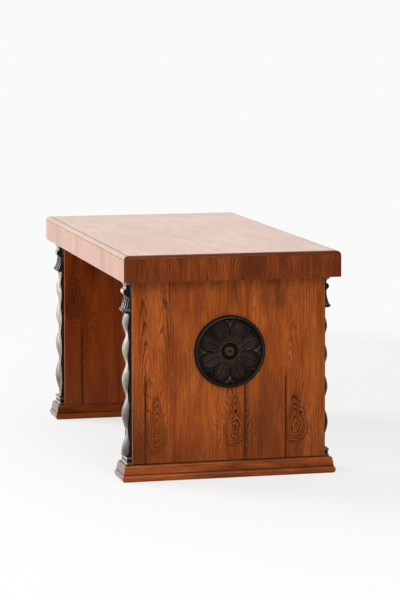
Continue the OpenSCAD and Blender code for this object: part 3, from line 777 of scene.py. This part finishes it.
def closeCapital(look, front, half, z):
    # each row goes back to a thin plate as wide as the slab, and round behind it
    plate, wide = look["plate"], look["width"] / 2 + look["plateWider"]
    back = np.array([
        (0, 0), (0, plate), (wide, plate), (wide, 0), (-wide, 0), (-wide, plate), (0, plate), (0, 0),
    ])
    ends = np.repeat(back[None], len(z), 0)
    ends[:, [0, 1], 0], ends[:, [6, 7], 0] = half, -half
    ends[:, [0, 7], 1] = np.maximum(front[:, -1:, 1] - arrisDrop, plate + look["plateFront"])
    level = np.repeat(z, 8, 1)
    level[:, 2:6] = np.linspace(0, look["height"], len(z))[:, None]
    return np.concatenate([front, np.concatenate([ends, level[..., None]], -1)], 1)


def capitalRings(look, hand):
    # z runs up the profile and u across the width, from -1 to 1
    tall, halfWidth, halfScroll = look["height"], look["width"] / 2, look["scrollWidth"] / 2
    scrollY, scrollZ = look["scrollOut"] - look["scroll"], tall * look["scrollAt"]
    curlZ = scrollZ - look["scroll"]  # the lowest point of the scroll
    neckZ = tall - look["slabHeight"] - 0.002  # the middle of the slab's flare
    scrollFrom, slabFrom = curlZ - 0.004, neckZ - 0.003
    line = capitalProfile(look, scrollY, scrollZ)
    out, z = line[:, :1], line[:, 1:]
    u = np.linspace(-1, 1, look["columns"])[None, :]

    # the leaf draws in under the scroll, and the slab is as wide as the leaf again
    leafShare = through(z, [
        (0, 0.88), (0.008, 1), (0.016, 0.95),
        (curlZ - 0.010, 0.88), (curlZ - 0.003, 0.80), (curlZ + 0.001, 0),
    ])
    slabHalf = through(z, [
        (slabFrom, halfScroll), (neckZ + 0.002, halfWidth - 0.001), (tall, halfWidth),
    ])
    half = np.maximum(leafShare * halfWidth, halfScroll * (z > scrollFrom))
    half = np.where(z > slabFrom, slabHalf, half)
    flute = through(z, [(0, 0.3), (0.005, 1), (curlZ - 0.012, 1), (curlZ - 0.002, 0)])
    groove = np.abs(np.sin(math.pi * look["lobes"] / 2 * (u + 1))) ** 3
    depth = out - (look["bow"] + look["leafBow"] * flute) * np.abs(u) ** 3 - look["flute"] * flute * groove
    front = np.stack([u * half, depth, z + 0 * u], -1)

    # worn at the leaf's tip, round the scroll, along the slab's edges and on the ridges between flutes;
    # the leaf's side away from the light is kept dark as painted shade
    proud = through(z, [
        (0, 0.6), (0.004, 1), (0.013, 0.85), (0.022, 0.65), (curlZ, 0.05), (scrollZ, 0.9),
        (scrollZ + look["scroll"] * 0.7, 0.65), (tall - 0.018, 0.1), (tall - 0.012, 0.6),
    ])
    inner = np.where(z > curlZ, 1, through(hand * u, look["leafLitSide"]))
    # painted shade: the grooves between the flutes and the throat under the scroll go below zero, so they are
    # dark and dull; the whole leaf is made a little darker and duller
    grooveShade = groove ** 0.5 * flute
    wearAndLight = look["wearAndLight"] * proud * inner * (1 - grooveShade) - look["grooveShade"] * grooveShade
    wearAndLight = wearAndLight - look["throatShade"] * (proud < look["sheltered"]) - look["leafDull"] * flute
    sides = look["sideWear"] * (z > neckZ) * np.array([[1, 1, 0, 0, 0, 0, 1, 1]])
    return closeCapital(look, front, half, z), np.concatenate([np.clip(wearAndLight, -1, 1), sides], 1)


for side, edge, node, piece in columns:
    rings, wearAndLight = capitalRings(capitalLook, -side * edge)
    rings[..., 2] += underTop - capitalLook["height"]
    addPiece(piece + "CapitalCarved", *skinRings(atEdge(rings, side, edge)), wearAndLight, node + "_capital")
print("capitals carved")


# Rosette: a turned disc with petals, darts and eyelets cut into it, as a height over radius and angle.
# Heights are shares of its thickness, and places are shares of its radius, or of a petal's half width.
# A ridge has its place, its width and its height. What comes in or fades has its start and its reach.

rosetteLook = {
    "radius": 0.120, "thick": 0.018, "centreZ": 0.420,
    "petals": 8, "rows": 190, "perPetal": 72, "innermost": 0.004,
    "turned": [
        (0, 0.56), (0.02, 0.58), (0.04, 0.70), (0.065, 0.78), (0.10, 0.72), (0.125, 0.56), (0.15, 0.34),
        (0.175, 0.20), (0.205, 0.18), (0.225, 0.30), (0.245, 0.42), (0.30, 0.38), (0.46, 0.24), (0.885, 0.20),
        (0.90, 0.34), (0.915, 0.80), (0.935, 1.0), (0.96, 0.94), (0.985, 0.80), (1.0, 0.55),
    ],
    "petalHalf": [
        (0.22, 0.44), (0.34, 0.47), (0.42, 0.49), (0.52, 0.49), (0.60, 0.46),
        (0.68, 0.39), (0.76, 0.28), (0.82, 0.17), (0.865, 0.05), (0.88, 0.001),
    ],
    "petalHigh": [(0.22, 0.42), (0.36, 0.50), (0.50, 0.57), (0.66, 0.62), (0.78, 0.58), (0.87, 0.44)],
    "petalCrown": [(0, 0.74), (1, 1.0)], "petalEdge": (0.88, 0.08, 0.06), "petalSide": 18,
    "petalFlutes": [(0, 0.09, 0.18), (0.36, 0.08, 0.12), (0.66, 0.07, 0.10)], "flutesFrom": (0.27, 0.125),
    "petalWear": [(0.88, 0.10, 0.12), (0.19, 0.07, 0.20), (0.51, 0.07, 0.16)],
    "dartFrom": (0.66, 0.05), "dartReach": [(0.66, 0), (0.76, 0.02), (0.82, 0.08), (0.88, 0.16)],
    "dartLip": (0.030, 0.42), "dartRib": (0, 0.020, 0.16), "ribTo": 0.80, "dartWear": 1.9,
    "crossWear": [(-1, 0.10), (1, 1.0)],
    "groove": (0, 0.018, 0.20), "grooveFrom": (0.44, 1 / 12), "grooveTo": (0.60, -0.05),
    "carvedFrom": (0.225, 0.03), "carvedTo": (0.893, -0.012),
    "eyeletAt": 0.395, "eyelet": [(0.040, 0.014, 0.12), (0, 0.024, -0.26)],
    "eyeletWear": (0.040, 0.014, 0.28), "pitShade": (0, 0.020, -0.8),
    "boss": (0.095, 0.03, 0.10), "bossLobes": 12,
    "ringWearAndShade": [
        (0.945, 0.012, 0.14), (0.09, 0.035, 0.42), (0.26, 0.03, 0.12),
        (0.19, 0.03, -0.8), (0.90, 0.012, -0.5),
    ],
    "rimFrom": 0.975, "rimDull": -0.6,
}


def ridge(value, place, width, height):
    # a rounded ridge that follows a bell curve; it is a groove where its height is below zero
    return height * np.exp(-((value - place) / width) ** 2)


def ridges(value, table):
    return sum(ridge(value, *row) for row in table)


def ease(value, start, reach):
    # 0 at the start and 1 a reach further on, or further back where the reach is below zero
    return np.clip((value - start) / reach, 0, 1)


def rosetteHeight(look, r, turn):
    # turn is in petals; a petal's middle is at a whole number plus a half, a dart's at a whole number
    fromPetal = (turn % 1) - 0.5
    fromDart = 0.5 - np.abs(fromPetal)
    turned = through(r, look["turned"])
    # petals: pointed, fluted lengthwise, with a raised edge
    half = through(r, look["petalHalf"])
    t = np.abs(fromPetal) / half
    leaf = through(r, look["petalHigh"]) * through(1 - t ** 2, look["petalCrown"])
    leaf = leaf + ridge(t, *look["petalEdge"])
    leaf = leaf - ridges(t, look["petalFlutes"]) * ease(r, *look["flutesFrom"])
    leaf = turned + (leaf - turned) * np.clip((1 - t) * half * look["petalSide"], 0, 1)
    # darts: a tulip of two raised lips that part outwards from a point between the petals
    reach = through(r, look["dartReach"])
    lips = ridge(fromDart, reach, *look["dartLip"]) + ridge(fromDart, *look["dartRib"]) * (r < look["ribTo"])
    lips = lips * ease(r, *look["dartFrom"])
    # eyelets: a small ring round a pit, and a groove from it outwards between the petals
    away = np.hypot(r - look["eyeletAt"], fromDart * r * 2 * math.pi / look["petals"])
    carved = np.maximum(leaf, turned + lips) + ridges(away, look["eyelet"])
    groove = ridge(fromDart, *look["groove"]) * ease(r, *look["grooveFrom"]) * ease(r, *look["grooveTo"])
    carved = carved - groove
    inside = ease(r, *look["carvedFrom"]) * ease(r, *look["carvedTo"])
    height = turned + (carved - turned) * inside
    lobe = np.cos(turn * 2 * math.pi * look["bossLobes"] / look["petals"])
    height = height + lobe * ridge(r, *look["boss"])
    # the upright and level darts are worn most
    cross = through(np.cos(math.pi * turn), look["crossWear"])
    wearAndLight = ridges(t, look["petalWear"]) + lips * look["dartWear"] * cross + ridge(away, *look["eyeletWear"])
    # painted shade: the groove round the boss, the groove at the foot of the rim and the eyelets' pits go
    # below zero, so they are dark and dull; the outer edge is made dull as well
    wearAndLight = wearAndLight * inside + ridges(r, look["ringWearAndShade"]) + ridge(away, *look["pitShade"])
    return height, np.clip(wearAndLight + look["rimDull"] * (r > look["rimFrom"]), -1, 1)


def addRosette(look, side, name, node):
    r = np.linspace(look["innermost"], 1, look["rows"])[:, None]
    turn = np.arange(look["petals"] * look["perPetal"])[None, :] / look["perPetal"]
    high, wearAndLight = rosetteHeight(look, r, turn)
    high = look["thick"] * np.minimum(high, 1.0)
    angle = turn * 2 * math.pi / look["petals"]
    # the carving faces out of the slab end; its 0 angle points down, as in the CAD solid
    y, z = side * r * look["radius"] * np.sin(angle), look["centreZ"] - r * look["radius"] * np.cos(angle)
    loops = np.stack([side * (slabFace + high), y, z], -1)
    under = loops[-1:].copy()
    under[..., 0] = side * slabFace
    skin = skinRings(np.concatenate([loops, under]))
    addPiece(name, *skin, np.concatenate([wearAndLight, wearAndLight[-1:] * 0]), node)


addRosette(rosetteLook, 1, "rightRosetteCarved", "right_rosette")
addRosette(rosetteLook, -1, "leftRosetteCarved", "left_rosette")
print("rosettes carved")


# Floor: pale and plain near the table, fading into the white around it. What the table's polish mirrors is
# bright behind the table, brightest before the window, and dark under it and on the photographer's side.

floorLook = {
    "halfSize": 400, "floor": 0.8, "white": 0.955, "fade": (1.6, 3.2),
    "lift": 0.68,  # the least share of white near the table
    "mirrored": 1.35, "window": 1.3, "windowX": (-3.6, -2.0), "windowY": (-0.8, -1.8), "room": 0.07,
    "underX": (-1.3, -0.7), "underY": (-0.36, -0.33), "nearX": (0.8, 1.6), "backY": (0.5, 1.1),
}


def addFloor(look):
    finish, tree, shader, coords = startFinish("paleFloor")
    tree.nodes.remove(shader)
    x, y = split(tree, coords)[:2]
    matt = tree.nodes.new("ShaderNodeBsdfDiffuse")
    matt.inputs["Color"].default_value = (look["floor"],) * 3 + (1,)
    far = between(tree, calc(tree, "SQRT", squareSum(tree, x, y)), *look["fade"])
    white = glow(tree, "ShaderNodeEmission", look["white"])
    seen = mixOn(tree, calc(tree, "MAXIMUM", far, look["lift"]), matt.outputs[0], white)

    window = calc(tree, "MULTIPLY", between(tree, y, *look["windowY"]), between(tree, x, *look["windowX"]))
    level = calc(tree, "MULTIPLY_ADD", window, look["window"], look["mirrored"])
    under = calc(tree, "MULTIPLY", between(tree, x, *look["underX"]), between(tree, y, *look["underY"]))
    dark = largest(tree, [under, between(tree, x, *look["nearX"]), between(tree, y, *look["backY"])])
    level = calc(tree, "MULTIPLY_ADD", dark, calc(tree, "SUBTRACT", look["room"], level), level)
    path = tree.nodes.new("ShaderNodeLightPath")
    surface = mixOn(tree, path.outputs["Is Glossy Ray"], seen, glow(tree, "ShaderNodeEmission", level))
    tree.links.new(surface, tree.nodes["Material Output"].inputs["Surface"])

    reach = look["halfSize"]
    corners = [(-reach, -reach, 0), (reach, -reach, 0), (reach, reach, 0), (-reach, reach, 0)]
    mesh = bpy.data.meshes.new("floor")
    mesh.from_pydata(corners, [], [(0, 1, 2, 3)])
    mesh.materials.append(finish)
    floor = bpy.data.objects.new("floor", mesh)
    bpy.context.scene.collection.objects.link(floor)


addFloor(floorLook)


# World: even light on the object, and white wherever the camera meets it. The polish mirrors it brighter,
# brightest at the window, with a dark room on the side where the photographer stands.

worldLook = {
    "light": 0.60, "white": 0.955, "mirrored": 1.6, "window": 1.0, "windowY": (-0.35, -0.7),
    "room": 0.08, "roomX": (0.1, 0.7), "roomY": (0.25, 0.6),
}


def setWorld(look):
    world = bpy.data.worlds.new("studio")
    bpy.context.scene.world = world
    world.use_nodes = True
    tree = world.node_tree
    tree.nodes.clear()
    output = tree.nodes.new("ShaderNodeOutputWorld")
    path = tree.nodes.new("ShaderNodeLightPath").outputs
    x, y = split(tree, tree.nodes.new("ShaderNodeTexCoord").outputs["Generated"])[:2]
    dark = calc(tree, "MAXIMUM", between(tree, x, *look["roomX"]), between(tree, y, *look["roomY"]))
    window = calc(tree, "MULTIPLY", between(tree, y, *look["windowY"]), look["window"])
    level = calc(tree, "ADD", window, look["mirrored"])
    level = calc(tree, "MULTIPLY_ADD", dark, calc(tree, "SUBTRACT", look["room"], level), level)
    light, mirrored, white = (
        glow(tree, "ShaderNodeBackground", strength) for strength in (look["light"], level, look["white"])
    )
    shader = mixOn(tree, path["Is Glossy Ray"], light, mirrored)
    shader = mixOn(tree, path["Is Transmission Ray"], shader, white)
    shader = mixOn(tree, path["Is Camera Ray"], shader, white)
    tree.links.new(shader, output.inputs["Surface"])


setWorld(worldLook)


# Lamps: a large soft box at the back left, a smaller one at the left, and one over the camera's side

lampLooks = [
    {"name": "backLeftSoftBox", "at": (-3.2, -4.2, 2.2), "size": 2.8, "power": 290},
    {"name": "leftSoftBox", "at": (1.6, -3.6, 2.8), "size": 2.0, "power": 60},
    {"name": "nearSoftBox", "at": (5.0, 0.4, 3.0), "size": 2.0, "power": 100},
]
lampAim = Vector((0.3, 0, 0.4))

for look in lampLooks:
    lamp = bpy.data.lights.new(look["name"], "AREA")
    lamp.shape = "SQUARE"
    lamp.size = look["size"]
    lamp.energy = look["power"]
    holder = bpy.data.objects.new(look["name"], lamp)
    holder.location = look["at"]
    holder.rotation_euler = (lampAim - holder.location).to_track_quat("-Z", "Y").to_euler()
    bpy.context.scene.collection.objects.link(holder)


# Camera, fitted to the photograph; it looks along turn, in degrees about Z, and dips below the level

cameraLook = {
    "at": (8.4509, -2.0095, 1.6319), "turn": 166.2404, "dip": 3.1814,
    "lens": 147.3261, "sensor": 36, "shiftY": -0.3, "clip": (0.1, 200),
}

lens = bpy.data.cameras.new("camera")
lens.lens = cameraLook["lens"]
lens.sensor_width = cameraLook["sensor"]
lens.shift_y = cameraLook["shiftY"]
lens.clip_start, lens.clip_end = cameraLook["clip"]
camera = bpy.data.objects.new("camera", lens)
turn, dip = math.radians(cameraLook["turn"]), math.radians(cameraLook["dip"])
ahead = Vector((math.cos(turn) * math.cos(dip), math.sin(turn) * math.cos(dip), -math.sin(dip)))
camera.location = cameraLook["at"]
camera.rotation_euler = ahead.to_track_quat("-Z", "Y").to_euler()
bpy.context.scene.collection.objects.link(camera)
bpy.context.scene.camera = camera
bpy.context.scene.view_settings.view_transform = "Standard"
print("stage set")
